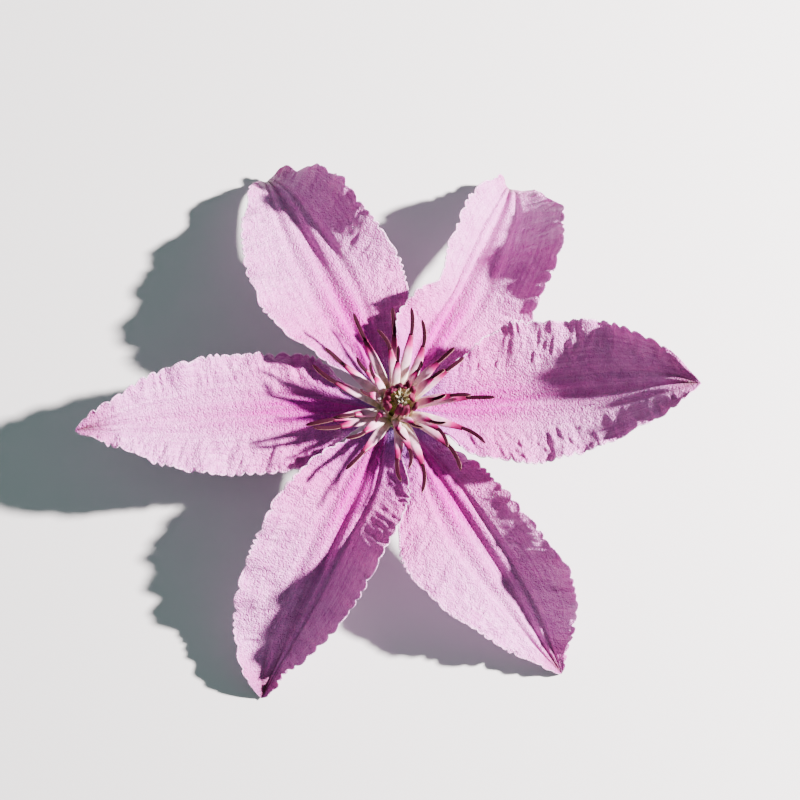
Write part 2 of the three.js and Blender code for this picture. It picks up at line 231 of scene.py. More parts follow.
# Down: hairs at random points of that skin, which leave its underside bare where it lies on the surface
hair_places = np.random.default_rng(7)
i, j = hair_places.integers(8, 80, DOWN_HAIRS), hair_places.integers(0, 36, DOWN_HAIRS)
i, j = (x[stem[i, j, 2] > 0.4] for x in (i, j))
down = spikes(stem[i, j], unit(stem[i, j] - line[i]), along[i], DOWN_LENGTH, 1, 8)
# The receptacle is a knob turned about the axis
knob = turned_form(RECEPTACLE_OUTLINE, angle[:-1])
stalk = build("flower_stalk", [(capped(stem), angle / (2 * np.pi), np.concatenate([[0], t, [1]]), 0),
                               (knob, angle / (2 * np.pi), np.linspace(0, 0.1, len(knob)), 0), *down],
              [stem_green, fine_down])
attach(stalk, "root")
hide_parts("stalk")

# ---- Sepals ----
# Six coloured sepals, which stand in for petals. Each is a single thin blade of living tissue with three to
# five lengthwise ribs, crepe-like puckers towards a crimped and scalloped margin, and a small pointed tip.
# Four arch down to rest on their tips, and the two at the sides are held up. Some halves are folded up.

# azimuth, length, slope and droop of the midrib, curl of its end and where that begins, sideways bend, cup
# of both sides, further folds of the left and right ones, claw height, tip height, pinch of the tip, side
# lifts, seed, and the half-widths to the left and right of the midrib, seen from above at tenths of its
# length. Angles are in degrees and lengths in mm.
SEPALS = [
    dict(azimuth=7.5, length=55, slope=-3, droop=-40, curl=30, curl_from=0.8, bend=-5, cup=15,
         fold_left=0, fold_right=0, claw=0.5, tip=33, pinch=26, lift_left=3, lift_right=1.2, seed=1,
         left=[1.3, 4.9, 8.1, 11.6, 13.6, 13.7, 13.8, 13.6, 11.4, 7, 2],
         right=[1.3, 6.8, 11.4, 12.8, 14.2, 13.4, 12.1, 10.2, 8, 5.2, 2]),
    dict(azimuth=61, length=60, slope=1, droop=34, curl=38, curl_from=0.84, bend=2.75, cup=15,
         fold_left=24, fold_right=30, claw=0.2, tip=0.2, pinch=10, lift_left=1.6, lift_right=-3.8, seed=20,
         left=[1.3, 4.8, 8.6, 7.8, 5, 6.5, 6.8, 7.2, 5.6, 3.6, 2],
         right=[1.3, 4.2, 8.3, 12.5, 15.5, 14.5, 13.9, 12.2, 10.3, 5.5, 3.6]),
    dict(azimuth=115.5, length=58, slope=1, droop=34, curl=38, curl_from=0.84, bend=0.25, cup=17,
         fold_left=0, fold_right=24, claw=0, tip=0.2, pinch=10, lift_left=1.4, lift_right=-3.4, seed=3,
         left=[1.3, 5.6, 9.8, 13.8, 15.9, 15.8, 14.5, 12.2, 9.1, 4.7, 2.4],
         right=[1.3, 4.9, 9.1, 12.9, 14.3, 13.1, 11.3, 10, 8.3, 4.2, 2]),
    dict(azimuth=181, length=59, slope=1, droop=-28, curl=26, curl_from=0.8, bend=7, cup=15,
         fold_left=0, fold_right=0, claw=-0.2, tip=19, pinch=26, lift_left=-3, lift_right=-3.4, seed=4,
         left=[1.3, 4.8, 9.6, 11.9, 12, 12.1, 11.5, 9.8, 7.3, 3.7, 2],
         right=[1.3, 5.6, 10.8, 11.8, 12, 11.8, 11.1, 9.7, 7.6, 3.8, 2]),
    dict(azimuth=246.5, length=58.5, slope=1, droop=42, curl=-33, curl_from=0.8, bend=0, cup=14,
         fold_left=30, fold_right=0, claw=0.1, tip=0.2, pinch=30, lift_left=1.4, lift_right=0.8, seed=5,
         left=[1.3, 5.4, 9.2, 9.6, 9, 8.7, 8, 6.4, 4.2, 1.6, 2],
         right=[1.3, 5.3, 9.7, 12.2, 13.7, 13.8, 13.7, 12.7, 10.7, 7, 6.5]),
    dict(azimuth=304.5, length=59, slope=1, droop=42, curl=-31, curl_from=0.8, bend=1.5, cup=14,
         fold_left=30, fold_right=0, claw=-0.2, tip=0.2, pinch=26, lift_left=-2.4, lift_right=-3, seed=6,
         left=[1.3, 4.3, 7.1, 8.4, 8.5, 8.9, 9.3, 8.9, 7.1, 4, 2],
         right=[1.3, 4.9, 9.2, 13.1, 15.9, 15.1, 13.7, 10.5, 7.6, 3.8, 2]),
]
# Lengths, depths and heights in mm
SEAT_GAP = 0.3  # between receptacle and claw
BLADE_THICKNESS = 0.36  # in the middle, thinner at the margin
TIP_HALF_WIDTH = 0.55
ROUNDED_FROM = 0.86  # share of the length from which the blade rounds to its tip
CLAW_PINCH = 12  # degrees more cup at the claw
RIB_SPACING = 0.3  # share of the half-width from one rib to the next
RIB_DEPTH = 0.35
WAVE_LENGTH = 7.5
WAVE_HEIGHT = 0.5
LOBE_LENGTH = 2.25  # from one rounded lobe of the margin to the next
LOBE_DEPTH = 0.95
CRIMP_LENGTH = 1.7
CRIMP_HEIGHT = 0.5
PUCKER_LENGTH = 1.3  # from one crepe fold to the next
PUCKER_HEIGHT = 0.22
BLADE_ROWS = 330  # points along a blade
BLADE_COLUMNS = 85  # and across each of its two faces


def draw(seed, k):
    """A repeatable random share for a seed and a counter: the fraction of a large sine."""
    x = np.sin(12.9898 * k + 78.233 * seed) * 43758.5453
    return x - np.floor(x)


def mottle(x, y, seed):
    """Random heights from -1 to 1 at the corners of unit squares, blended by smoothstep between them."""
    size = 97
    table = np.random.default_rng(seed).uniform(-1, 1, (size, size))
    x, y = np.broadcast_arrays(x, y)
    i, j = np.floor(x).astype(int), np.floor(y).astype(int)
    a, b = smooth(x - i), smooth(y - j)
    low = table[i % size, j % size] * (1 - a) + table[(i + 1) % size, j % size] * a
    high = table[i % size, (j + 1) % size] * (1 - a) + table[(i + 1) % size, (j + 1) % size] * a
    return low * (1 - b) + high * b


def midrib(sepal, s):
    """Distance from the axis, height and direction of the midrib at shares s of its length. Its slope gains
    droop times the square of the share and curls at the end, and the whole is scaled so that the tip ends at
    its own height, on the surface or held over it."""
    steps = 240
    mid = (np.arange(steps) + 0.5) / steps
    angle = np.radians(sepal["slope"] + sepal["droop"] * mid ** 2
                       + sepal["curl"] * smooth((mid - sepal["curl_from"]) / (1 - sepal["curl_from"])))
    step = sepal["length"] / steps
    out = RECEPTACLE_RADIUS + SEAT_GAP + np.append(0, np.cumsum(np.cos(angle))) * step
    down = np.append(0, np.cumsum(np.sin(angle))) * step
    height = SPRING_HEIGHT + sepal["claw"]
    down *= (height - sepal["tip"]) / down[-1]
    knots = np.linspace(0, 1, steps + 1)
    direction = unit(np.stack([np.gradient(out), -np.gradient(down)], -1))
    x, z = (np.interp(s, knots, line) for line in (out, height - down))
    dx, dz = (np.interp(s, knots, line) for line in direction.T)
    return x, z, dx, dz


def half_width(tenths, s):
    """The half-width at shares s of the length: the cubic curve through the values at each tenth whose slope
    at one is half the difference of its neighbours, rounded off towards the tip."""
    knots = np.array([2 * tenths[0] - tenths[1], *tenths, 2 * tenths[-1] - tenths[-2]])
    i = np.minimum((s * 10).astype(int), 9)
    f = s * 10 - i
    a, b, c, d = (knots[i + k] for k in range(4))
    wide = b + 0.5 * f * (c - a + f * (2 * a - 5 * b + 4 * c - d + f * (3 * (b - c) + d - a)))
    rounded = smooth((s - ROUNDED_FROM) / (1 - ROUNDED_FROM))
    point = TIP_HALF_WIDTH * s ** 6 * np.sqrt(1 - smooth((s - 0.975) / 0.025) ** 2)
    return wide * np.sqrt(1 - rounded ** 2) + point


def blade(sepal, s, u):
    """The middle surface of a sepal. s runs from claw to tip and u from the right margin, -1, to the left,
    1. The sides turn up from the midrib, and ribs, waves, crepe puckers and the scalloped crimp of the
    margin are added square to it or in its plane."""
    x, z, dx, dz = midrib(sepal, s)
    side = np.abs(u)
    hand = np.where(u < 0, 0.0, 0.5)
    length, seed = sepal["length"], sepal["seed"]
    wide = np.where(u < 0, half_width(sepal["right"], s), half_width(sepal["left"], s))
    folded = np.where(u < 0, sepal["fold_right"] * smooth((s - 0.35) / 0.3),
                      sepal["fold_left"] * smooth((s - 0.15) / 0.3))
    at_tip = smooth((s - 0.8) / 0.2)
    turned = np.radians(sepal["cup"] + folded * (1 - at_tip) + sepal["pinch"] * at_tip
                        + CLAW_PINCH * (1 - smooth(s / 0.25)))
    lap = smooth(s / 0.12) * (1 - smooth((s - 0.4) / 0.3))
    rise = wide * np.tan(turned) * side ** 1.5
    rise += np.where(u < 0, sepal["lift_right"], sepal["lift_left"]) * lap * side ** 2
    across = wide * u
    # Large waves of the margin, up and down, and the ribs
    run = s * length
    grown = smooth(s / 0.2) * (1 - smooth((s - 0.88) / 0.12))
    sway = np.sin(2 * np.pi * (run / WAVE_LENGTH + draw(seed, 3 + hand)))
    sway = sway + 0.6 * np.sin(2 * np.pi * (run / (1.7 * WAVE_LENGTH) + draw(seed, 5 + hand)))
    rise += WAVE_HEIGHT * grown * sway * side ** 3
    ribs = np.cos(2 * np.pi * side / RIB_SPACING) * (1 - smooth((side - 0.3) / 0.2))
    rise -= RIB_DEPTH * grown * ribs
    # Rounded lobes with sharp clefts between them, uneven in length and depth, and their crimp
    edge = smooth((side - 0.8) / 0.2) ** 1.5
    count = run / LOBE_LENGTH + 1.1 * mottle(run / 5, 40 * hand, seed + 100)
    lobe = np.abs(np.sin(np.pi * count)) ** 0.7
    uneven = 0.65 + 0.45 * mottle(run / 3.1, 40 * hand, seed + 200)
    whole = smooth(s / 0.14) * (1 - smooth((s - 0.95) / 0.05))
    across += np.sign(u) * edge * whole * LOBE_DEPTH * uneven * (lobe - 0.6)
    crimp = mottle(run / CRIMP_LENGTH, 3 * side + 40 * hand, seed + 300)
    rise += CRIMP_HEIGHT * whole * edge * (crimp + 0.5 * (lobe - 0.6))
    # Crepe puckers that run from the outer ribs to the margin
    band = smooth((side - 0.3) / 0.35) * (1 - 0.4 * edge)
    band = band * smooth(s / 0.15) * (1 - smooth((s - 0.93) / 0.07))
    forward = run - 0.35 * side * wide
    pucker = mottle(forward / PUCKER_LENGTH, side * wide / 3.2 + 40 * hand, seed + 400)
    fine = mottle(forward / (0.55 * PUCKER_LENGTH), side * wide / 1.4 + 40 * hand, seed + 500)
    rise += PUCKER_HEIGHT * band * (1.1 * pucker + fine)
    azimuth = np.radians(sepal["azimuth"])
    return (around(azimuth, x - dz * rise, z + dx * rise)
            + around(azimuth + np.pi / 2, sepal["bend"] * s * s + across, 0.0))


def blade_skin(sepal):
    """The blade as a closed skin: the middle surface moved half a thickness up and down along its own
    normals, joined round the margins by a rounded rim and drawn together at claw and tip."""
    s = np.linspace(0, 1, BLADE_ROWS)[:, None]
    x = np.linspace(-1, 1, BLADE_COLUMNS)
    u = (0.45 * x + 0.55 * np.sin(np.pi / 2 * x))[None]
    middle = blade(sepal, s, u)
    lengthwise, crosswise = np.gradient(middle, axis=0), np.gradient(middle, axis=1)
    normal = unit(np.cross(lengthwise, crosswise))
    half = BLADE_THICKNESS / 2 * (1 - 0.45 * np.abs(u) ** 4)
    half = half * np.sqrt(np.clip(s / 0.004, 0, 1) * np.clip((1 - s) / 0.012, 0, 1))
    top, bottom = middle + normal * half[..., None], middle - normal * half[..., None]
    rim = [middle[:, i] + unit(crosswise[:, i]) * sign * half[:, i, None] for i, sign in ((0, -1), (-1, 1))]
    skin = np.concatenate([top, rim[1][:, None], bottom[:, ::-1], rim[0][:, None]], 1)
    skin[..., 2] = np.maximum(skin[..., 2], 0)
    share = 0.5 + 0.5 * u[0]
    across = np.concatenate([share, [1], share[::-1], [0, 0]])
    columns = np.arange(skin.shape[1])
    look = np.where((columns > BLADE_COLUMNS) & (columns < 2 * BLADE_COLUMNS), 1, 0)
    return skin, across, s[:, 0], look


# Thin petal tissue: a soft translucent sheet with a velvety skin of tiny domed cells. Face: pale pink, with
# deeper pink bars along the ribs, violet at the claw, a pale rim that is a painted highlight, and a dark tip
# that is partly painted shade.
sepal_face, tree = new_material("petal tissue, face")
place = put(tree, "ShaderNodeTexCoord")
sheet = put(tree, "ShaderNodeSeparateXYZ", {0: place.outputs["UV"]})
side = put(tree, "ShaderNodeMath", {0: sheet.outputs["X"], 1: 2.0, 2: -1.0}, operation="MULTIPLY_ADD")
side = put(tree, "ShaderNodeMath", {0: side.outputs[0]}, operation="ABSOLUTE")
length_tint = put(tree, "ShaderNodeValToRGB", {0: sheet.outputs["Y"]},
                  stops=[(0.0, "#7E60AC"), (1.0, "#A54E94"), (0.05, "#985CB0"), (0.13, "#BE52AE"),
                         (0.27, "#CE5CB0"), (0.5, "#D082BE"), (0.85, "#D28CC4"), (0.95, "#BD60A4")])
# Bars: a hot pink flush along the midrib and the grooves beside it, which the shares across the blade place,
# broken up along its length and fading towards the tip
streak_at = put(tree, "ShaderNodeMapping", {"Vector": place.outputs["UV"], "Scale": (55.0, 5.0, 1.0)})
streak = put(tree, "ShaderNodeTexNoise", {"Vector": streak_at.outputs[0], "Scale": 1.0, "Detail": 3.0})
bars = put(tree, "ShaderNodeValToRGB", {0: side.outputs[0]},
           stops=[(0.0, "#FFFFFF"), (1.0, "#000000"), (0.05, "#F0F0F0"), (0.09, "#B0B0B0"),
                  (0.14, "#F0F0F0"), (0.19, "#D0D0D0"), (0.24, "#787878"), (0.29, "#B0B0B0"),
                  (0.34, "#909090"), (0.42, "#282828"), (0.62, "#080808")])
fade = put(tree, "ShaderNodeValToRGB", {0: sheet.outputs["Y"]},
           stops=[(0.0, "#FFFFFF"), (1.0, "#585858"), (0.24, "#FFFFFF"), (0.42, "#B4B4B4"),
                  (0.65, "#747474")])
barred = put(tree, "ShaderNodeMath", {0: bars.outputs[0], 1: fade.outputs[0]}, operation="MULTIPLY")
barred = put(tree, "ShaderNodeMath", {0: barred.outputs[0], 1: streak.outputs["Fac"]}, operation="MULTIPLY")
barred = put(tree, "ShaderNodeMath", {0: barred.outputs[0], 1: 2.8}, operation="MULTIPLY", use_clamp=True)
tint = put(tree, "ShaderNodeMix",
           {"Factor": barred.outputs[0], 6: length_tint.outputs[0], 7: colour("#BE00A0")}, data_type="RGBA")
# Veins finer than the bars, and a mottling of patches two millimetres across and less
veins = put(tree, "ShaderNodeValToRGB", {0: streak.outputs["Fac"]},
            stops=[(0.36, "#C97CC6"), (0.62, "#FFFFFF")])
tint = put(tree, "ShaderNodeMix", {"Factor": 0.45, 6: tint.outputs[2], 7: veins.outputs[0]},
           data_type="RGBA", blend_type="MULTIPLY")
patch = put(tree, "ShaderNodeTexNoise", {"Vector": place.outputs["Object"], "Scale": 420.0, "Detail": 6.0,
                                         "Roughness": 0.85})
patches = put(tree, "ShaderNodeValToRGB", {0: patch.outputs["Fac"]},
              stops=[(0.36, "#D27CC8"), (0.6, "#FFFFFF")])
tint = put(tree, "ShaderNodeMix", {"Factor": 0.55, 6: tint.outputs[2], 7: patches.outputs[0]},
           data_type="RGBA", blend_type="MULTIPLY")
# Margin: a thin pale rim, a painted highlight where the crimped edge catches the light
rim = put(tree, "ShaderNodeValToRGB", {0: side.outputs[0]}, stops=[(0.97, "#000000"), (0.995, "#C0C0C0")])
tint = put(tree, "ShaderNodeMix", {"Factor": rim.outputs[0], 6: tint.outputs[2], 7: colour("#E0B8D8")},
           data_type="RGBA")
# The tip: dark red along the fold of its keel, fading to its sides: partly the tip's own dark red, partly
# painted shade in the fold
tip = put(tree, "ShaderNodeValToRGB", {0: sheet.outputs["Y"]}, stops=[(0.89, "#000000"), (0.965, "#FFFFFF")])
keel = put(tree, "ShaderNodeValToRGB", {0: side.outputs[0]}, stops=[(0.05, "#FFFFFF"), (0.5, "#202020")])
tip = put(tree, "ShaderNodeMath", {0: tip.outputs[0], 1: keel.outputs[0]}, operation="MULTIPLY")
tint = put(tree, "ShaderNodeMix", {"Factor": tip.outputs[0], 6: tint.outputs[2], 7: colour("#4B1423")},
           data_type="RGBA")
# Domed cells, about 0.05 mm across in life, drawn at 0.35 mm so that they show
cells = put(tree, "ShaderNodeTexVoronoi", {"Vector": place.outputs["Object"], "Scale": 2800.0})
wrinkle = put(tree, "ShaderNodeTexNoise", {"Vector": place.outputs["Object"], "Scale": 1100.0, "Detail": 4.0,
                                           "Roughness": 0.65, "Distortion": 0.6})
height = put(tree, "ShaderNodeMath", {0: cells.outputs["Distance"], 1: -0.35, 2: wrinkle.outputs["Fac"]},
             operation="MULTIPLY_ADD")
bump = put(tree, "ShaderNodeBump", {"Height": height.outputs[0], "Strength": 1.0, "Distance": 0.0008})
shader = put(tree, "ShaderNodeBsdfPrincipled",
             {"Base Color": tint.outputs[2], "Roughness": 0.44, "IOR": 1.4, "Specular IOR Level": 0.34,
              "Normal": bump.outputs[0], "Sheen Weight": 0.12, "Sheen Roughness": 0.4,
              "Sheen Tint": colour("#FFE8FB"),
              "Subsurface Weight": 0.25, "Subsurface Radius": (1.0, 0.5, 0.9), "Subsurface Scale": 0.0006})
put(tree, "ShaderNodeOutputMaterial", {0: shader.outputs[0]})

# The reverse of the same tissue: paler and more lilac, with raised mauve ribs and a green claw
sepal_reverse, tree = new_material("petal tissue, reverse")
place = put(tree, "ShaderNodeTexCoord")
sheet = put(tree, "ShaderNodeSeparateXYZ", {0: place.outputs["UV"]})
side = put(tree, "ShaderNodeMath", {0: sheet.outputs["X"], 1: 2.0, 2: -1.0}, operation="MULTIPLY_ADD")
side = put(tree, "ShaderNodeMath", {0: side.outputs[0]}, operation="ABSOLUTE")
length_tint = put(tree, "ShaderNodeValToRGB", {0: sheet.outputs["Y"]},
                  stops=[(0.0, "#9BA177"), (1.0, "#662F40"), (0.06, "#A386A5"), (0.3, "#B68DB6"),
                         (0.93, "#B283AF")])
bars = put(tree, "ShaderNodeValToRGB", {0: side.outputs[0]},
           stops=[(0.0, "#FFFFFF"), (1.0, "#000000"), (0.05, "#707070"), (0.12, "#E0E0E0"),
                  (0.17, "#B0B0B0"), (0.22, "#404040"), (0.3, "#A0A0A0"), (0.38, "#202020")])
tint = put(tree, "ShaderNodeMix",
           {"Factor": bars.outputs[0], 6: length_tint.outputs[0], 7: colour("#9B719D")}, data_type="RGBA")
patch = put(tree, "ShaderNodeTexNoise", {"Vector": place.outputs["Object"], "Scale": 500.0, "Detail": 4.0})
patches = put(tree, "ShaderNodeValToRGB", {0: patch.outputs["Fac"]},
              stops=[(0.35, "#E2CBE6"), (0.62, "#FFFFFF")])
tint = put(tree, "ShaderNodeMix", {"Factor": 0.6, 6: tint.outputs[2], 7: patches.outputs[0]},
           data_type="RGBA", blend_type="MULTIPLY")
bump = put(tree, "ShaderNodeBump", {"Height": patch.outputs["Fac"], "Strength": 0.4, "Distance": 0.00015})
shader = put(tree, "ShaderNodeBsdfPrincipled",
             {"Base Color": tint.outputs[2], "Roughness": 0.62, "IOR": 1.4, "Normal": bump.outputs[0],
              "Sheen Weight": 0.4, "Sheen Roughness": 0.5, "Sheen Tint": colour("#FFFFFF"),
              "Subsurface Weight": 0.25, "Subsurface Radius": (1.0, 0.5, 0.9), "Subsurface Scale": 0.0006})
put(tree, "ShaderNodeOutputMaterial", {0: shader.outputs[0]})

for i, sepal in enumerate(SEPALS, 1):
    piece = build(f"sepal_blade_{i}", [blade_skin(sepal)], [sepal_face, sepal_reverse])
    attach(piece, "root")
    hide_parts(f"sepal_{i}")

# ---- Stamens ----
# About three dozen spread stamens and a ring of young ones, grown from one low collar. Each is a flat fleshy
# filament, cream and then hot pink, that ends in a long narrow anther of two dark pollen sacs with a paler
# seam. The young ones still stand upright round the styles, with short crimson anthers.

COLLAR_OUTLINE = [(1.75, 0.7), (2.85, 0.7), (2.9, 1.2), (2.85, 1.6), (2.55, 2.0), (1.95, 2.05), (1.75, 1.9),
                  (1.75, 0.7)]
ROOT_HEIGHT = 1.3  # mm over the spring height, inside the collar
# Spread stamens, the outermost whorl first: how far they reach and how unevenly, how high they rise, how far
# the whorl is turned in degrees, and radius at the root, half-width and half-thickness of a filament, mm
WHORLS = [
    dict(count=15, reach=17.4, spread=1.7, rise=8.0, turn=4, root=2.45, wide=0.85, thick=0.34),
    dict(count=8, reach=13.0, spread=1.5, rise=9.5, turn=15, root=2.4, wide=0.8, thick=0.34),
    dict(count=10, reach=8.6, spread=1.3, rise=9.3, turn=2, root=2.35, wide=0.75, thick=0.34),
]
# The young ones bulge to belly and end between tip and tip plus spread from the axis
YOUNG = dict(count=13, root=2.3, belly=3.3, tip=1.45, spread=2.2, rise=10.2, wide=0.62, thick=0.5)
YOUNG_FILAMENT = 0.68  # share of a young stamen's length where its filament ends, inside the anther
YOUNG_ANTHER_FROM = 0.62
ANTHER_FROM = 0.72  # share of a stamen's length where its anther begins
# The ranges of a spread stamen's sideways sway, and of the hook and the nod of its anther
SWAY = 0.16  # radians
HOOK = 3.6  # mm
NOD = 2.6  # mm


def stamen(corners, azimuth, wide, thick, hook, nod):
    """The filament and the anther of one stamen: flat profiles carried along a Bezier curve. The filament is
    widest below its middle, and the anther has a groove between its two sacs and hooks at its end."""
    sideways = around(azimuth + np.pi / 2, 1.0, 0.0)
    turn = np.linspace(0, 2 * np.pi, 15)
    c, d = np.cos(turn[:-1]), np.sin(turn[:-1])

    def path(t):
        point, along = bezier(corners, t)
        x = np.clip((t - ANTHER_FROM) / (1 - ANTHER_FROM), 0, 1)[:, None]
        return point + (sideways * hook + (0, 0, nod)) * x * x, along

    t = np.linspace(0, ANTHER_FROM + 0.01, 26)
    x = t / ANTHER_FROM
    breadth = wide * (0.78 + 0.4 * np.sin(np.pi * np.clip(x, 0, 1) ** 0.8) - 0.2 * smooth((x - 0.7) / 0.3))
    depth = thick * (1 - 0.25 * smooth((x - 0.6) / 0.4))
    point, along = path(t)
    filament = carried(point, along, sideways, breadth[:, None] * c,
                       depth[:, None] * (d * (0.8 + 0.2 * np.abs(c)) + 0.25 * c * c))
    filament = np.concatenate([filament, np.broadcast_to(filament[-1].mean(0), filament[-1:].shape)])
    t_filament = np.append(x, 1)

    t = np.linspace(ANTHER_FROM - 0.005, 1, 22)
    x = (t - t[0]) / (1 - t[0])
    breadth = wide * (0.42 + 0.06 * np.sin(np.pi * x)) * np.sqrt(1 - smooth((x - 0.8) / 0.2) * x ** 4 * 0.97)
    breadth = breadth * (0.7 + 0.3 * smooth(x / 0.08))
    depth = thick * 1.05 * np.sqrt(1 - smooth((x - 0.8) / 0.2) * 0.9)
    point, along = path(t)
    anther = carried(point, along, sideways, breadth[:, None] * c,
                     depth[:, None] * d * (0.5 + 0.75 * np.abs(c)))
    x = np.concatenate([[0], x, [1]])
    return [(filament, turn / (2 * np.pi), t_filament, 0), (capped(anther), turn / (2 * np.pi), x, 1)]


def young_stamen(corners, azimuth, wide, thick):
    """A young stamen: a stout filament and a bean-shaped anther with a groove down its face."""
    sideways = around(azimuth + np.pi / 2, 1.0, 0.0)
    turn = np.linspace(0, 2 * np.pi, 17)
    c, d = np.cos(turn[:-1]), np.sin(turn[:-1])
    t = np.linspace(0, YOUNG_FILAMENT, 12)
    point, along = bezier(corners, t)
    filament = carried(point, along, sideways, 0.8 * wide * c, 0.7 * thick * d)
    filament = np.concatenate([filament, np.broadcast_to(filament[-1].mean(0), filament[-1:].shape)])
    x = np.linspace(0, 1, 20)
    point, along = bezier(corners, YOUNG_ANTHER_FROM + (1 - YOUNG_ANTHER_FROM) * x)
    full = np.sqrt(np.clip(1 - (2 * x - 1) ** 4, 0, 1))
    anther = carried(point, along, sideways, (1.3 * wide * full)[:, None] * c,
                     (1.25 * thick * full)[:, None] * d * (0.55 + 0.65 * np.abs(c)))
    t = np.append(t, YOUNG_FILAMENT) / YOUNG_FILAMENT
    return [(filament, turn / (2 * np.pi), t, 2), (anther, turn / (2 * np.pi), x, 3)]


def flesh(name, stops, roughness, speckle, speckle_scale):
    """A soft stamen or style material: colours along its length, broken up by a fine speckle."""
    material, tree = new_material(name)
    place = put(tree, "ShaderNodeTexCoord")
    sheet = put(tree, "ShaderNodeSeparateXYZ", {0: place.outputs["UV"]})
    noise = put(tree, "ShaderNodeTexNoise", {"Vector": place.outputs["Object"], "Scale": speckle_scale,
                                             "Detail": 3.0})
    shifted = put(tree, "ShaderNodeMath", {0: noise.outputs["Fac"], 1: 0.12, 2: -0.06},
                  operation="MULTIPLY_ADD")
    shifted = put(tree, "ShaderNodeMath", {0: sheet.outputs["Y"], 1: shifted.outputs[0]}, operation="ADD")
    length_tint = put(tree, "ShaderNodeValToRGB", {0: shifted.outputs[0]}, stops=stops)
    spots = put(tree, "ShaderNodeValToRGB", {0: noise.outputs["Fac"]},
                stops=[(0.35, speckle), (0.6, "#FFFFFF")])
    tint = put(tree, "ShaderNodeMix", {"Factor": 0.6, 6: length_tint.outputs[0], 7: spots.outputs[0]},
               data_type="RGBA", blend_type="MULTIPLY")
    bump = put(tree, "ShaderNodeBump", {"Height": noise.outputs["Fac"], "Strength": 0.3, "Distance": 0.0001})
    shader = put(tree, "ShaderNodeBsdfPrincipled",
                 {"Base Color": tint.outputs[2], "Roughness": roughness, "Specular IOR Level": 0.18,
                  "Normal": bump.outputs[0], "Subsurface Weight": 0.2,
                  "Subsurface Radius": (1.0, 0.6, 0.6), "Subsurface Scale": 0.0005})
    put(tree, "ShaderNodeOutputMaterial", {0: shader.outputs[0]})
    return material


# Filaments: fleshy, satin and slightly translucent, green-cream at the foot, then pale pink, then magenta
filament_flesh = flesh("filament flesh",
                       [(0.0, "#B1AC6E"), (1.0, "#5A0031"), (0.14, "#D2C498"), (0.5, "#D4B4BC"),
                        (0.73, "#CC8DAF"), (0.86, "#A7086B"), (0.93, "#750342")],
                       roughness=0.42, speckle="#C4A8B8", speckle_scale=900.0)
# The young ones' filaments: the same flesh, still cream for most of their length
young_flesh = flesh("young filament flesh",
                    [(0.0, "#C8C088"), (1.0, "#A34469"), (0.5, "#D4C89C"), (0.8, "#C3A497")],
                    roughness=0.42, speckle="#BCAE8D", speckle_scale=900.0)
# Their anthers: matt crimson sacs that haven't opened
young_anther = flesh("young pollen sac", [(0.0, "#8A0450"), (1.0, "#50032A"), (0.4, "#72033A")],
                     roughness=0.75, speckle="#751D45", speckle_scale=1500.0)

# Pollen sacs: dry papery tissue, dark maroon, with a tan-pink seam down each edge where they split
anther_sac, tree = new_material("pollen sac")
place = put(tree, "ShaderNodeTexCoord")
sheet = put(tree, "ShaderNodeSeparateXYZ", {0: place.outputs["UV"]})
seam = put(tree, "ShaderNodeMath", {0: sheet.outputs["X"], 1: 4 * np.pi}, operation="MULTIPLY")
seam = put(tree, "ShaderNodeMath", {0: seam.outputs[0]}, operation="COSINE")
noise = put(tree, "ShaderNodeTexNoise", {"Vector": place.outputs["Object"], "Scale": 1500.0, "Detail": 3.0})
seam = put(tree, "ShaderNodeMath", {0: noise.outputs["Fac"], 1: 0.3, 2: seam.outputs[0]},
           operation="MULTIPLY_ADD")
tint = put(tree, "ShaderNodeValToRGB", {0: seam.outputs[0]},
           stops=[(0.0, "#220110"), (1.0, "#BD9083"), (0.6, "#320118"), (0.95, "#400220")])
bump = put(tree, "ShaderNodeBump", {"Height": noise.outputs["Fac"], "Strength": 0.5, "Distance": 0.00012})
shader = put(tree, "ShaderNodeBsdfPrincipled",
             {"Base Color": tint.outputs[0], "Roughness": 0.7, "Specular IOR Level": 0.05,
              "Normal": bump.outputs[0]})
put(tree, "ShaderNodeOutputMaterial", {0: shader.outputs[0]})

# The collar that all of them grow from
turn = np.linspace(0, 2 * np.pi, 49)
collar = turned_form(COLLAR_OUTLINE, turn[:-1])
parts = [(collar, turn / (2 * np.pi), np.linspace(0, 0.2, len(collar)), 2)]
foot = SPRING_HEIGHT + ROOT_HEIGHT
# Spread stamens, whorl by whorl
for w, whorl in enumerate(WHORLS, 1):
    for k in range(whorl["count"]):
        azimuth = np.radians(whorl["turn"] + 360 * (k + 0.7 * (draw(10 * w, k) - 0.5)) / whorl["count"])
        reach = whorl["reach"] + 2 * whorl["spread"] * (draw(10 * w + 1, k) - 0.5)
        rise = whorl["rise"] * (0.8 + 0.4 * draw(10 * w + 2, k))
        sway = SWAY * (draw(10 * w + 3, k) - 0.5)
        corners = [around(azimuth, whorl["root"], foot),
                   around(azimuth, whorl["root"] + 0.16 * reach, foot + 0.7 * rise),
                   around(azimuth + sway, 0.66 * reach, foot + 0.85 * rise),
                   around(azimuth + 2.5 * sway, reach, foot + rise)]
        hook = HOOK * (draw(10 * w + 4, k) - 0.5)
        nod = NOD * (draw(10 * w + 5, k) - 0.45)
        parts += stamen(corners, azimuth, whorl["wide"], whorl["thick"], hook, nod)
